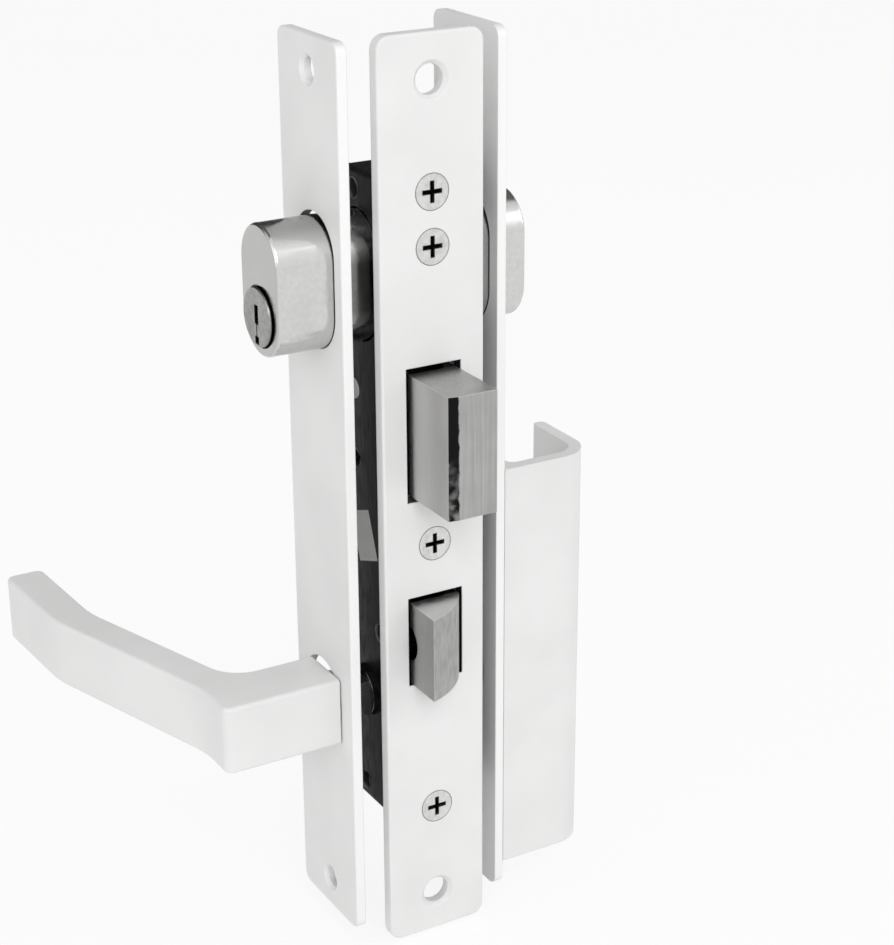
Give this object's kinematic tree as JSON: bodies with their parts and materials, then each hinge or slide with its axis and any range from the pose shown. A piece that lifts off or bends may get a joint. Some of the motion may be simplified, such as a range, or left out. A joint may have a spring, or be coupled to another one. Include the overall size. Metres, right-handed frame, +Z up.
{
  "type": "mortise lockset",
  "caption": "Narrow-stile mortise lockset: slim faceplate with deadbolt and spring latch, oval double key cylinder, cover plates, lever handle and channel pull.",
  "frame": {"origin": "middle of the faceplate's rear face, where it meets the door edge", "axes": "+Z up along the faceplate, +Y into the door edge, +X to the side with the pull"},
  "size_m": [0.1093, 0.116, 0.21],
  "materials": {
    "white_paint": "satin white powder coat",
    "white_aluminium": "satin white powder coat on aluminium",
    "nickel": "satin nickel plate",
    "black_case": "black finish on folded sheet steel",
    "zinc_screw": "bright zinc plate",
    "steel": "plain steel",
    "brass": "bare brass",
    "spring_steel": "spring steel"
  },
  "bodies": {
    "frame": {"faceplate": "white_paint", "faceplate_screws": "zinc_screw", "cylinder_screw": "zinc_screw", "case_body": "black_case", "case_cover": "black_case", "case_posts": "steel", "guide_rivets": "steel", "bolt_guide_left": "steel", "bolt_guide_right": "steel", "latch_guide_left": "steel", "latch_guide_right": "steel", "cylinder_body": "nickel", "chamber_plugs": "nickel", "driver_pins": "brass", "latch_spring": "spring_steel", "hub_spring": "spring_steel", "left_plate": "white_aluminium", "right_plate": "white_aluminium", "pull_handle": "white_aluminium", "pull_screws": "zinc_screw"},
    "lever": {"lever_handle": "white_aluminium", "lever_set_screw": "zinc_screw", "spindle": "steel", "hub": "steel"},
    "latch": {"latch_bolt": "nickel"},
    "left_key_plug": {"left_plug": "nickel", "left_plug_clip": "spring_steel", "left_key_pins": "brass", "cam": "steel", "clutch_core": "steel"},
    "right_key_plug": {"right_plug": "nickel", "right_plug_clip": "spring_steel", "right_key_pins": "brass"},
    "bolt": {"deadbolt": "nickel"}
  },
  "joints": [
    {"name": "lever_turn", "type": "hinge", "parent": "frame", "child": "lever", "pos_m": [-0.03, 0.01225, -0.0463], "axis": [1, 0, 0], "range_deg": [-40, 0], "stiffness_Nm_per_rad": 0.6, "springref_deg": 28.65, "deforming": ["hub_spring"]},
    {"name": "latch_slide", "type": "slide", "parent": "frame", "child": "latch", "axis": [0, 1, 0], "range_m": [0, 0.0097], "stiffness_N_per_m": 250, "springref_m": -0.012, "deforming": ["latch_spring"]},
    {"name": "left_plug_turn", "type": "hinge", "parent": "frame", "child": "left_key_plug", "pos_m": [0, 0.01225, 0.0467], "axis": [1, 0, 0], "range_deg": [0, 64.32]},
    {"name": "deadbolt_slide", "type": "slide", "parent": "frame", "child": "bolt", "axis": [0, 1, 0], "range_m": [0, 0.0165]},
    {"name": "right_plug_turn", "type": "hinge", "parent": "frame", "child": "right_key_plug", "pos_m": [0.015, 0.01225, 0.0467], "axis": [1, 0, 0], "range_deg": [0, 64.32]}
  ],
  "couplings": [
    {"joint": "latch_slide", "follows": "lever_turn", "m_per_rad": -0.013894},
    {"joint": "left_plug_turn", "follows": "deadbolt_slide", "rad_per_m": 68.032}
  ]
}
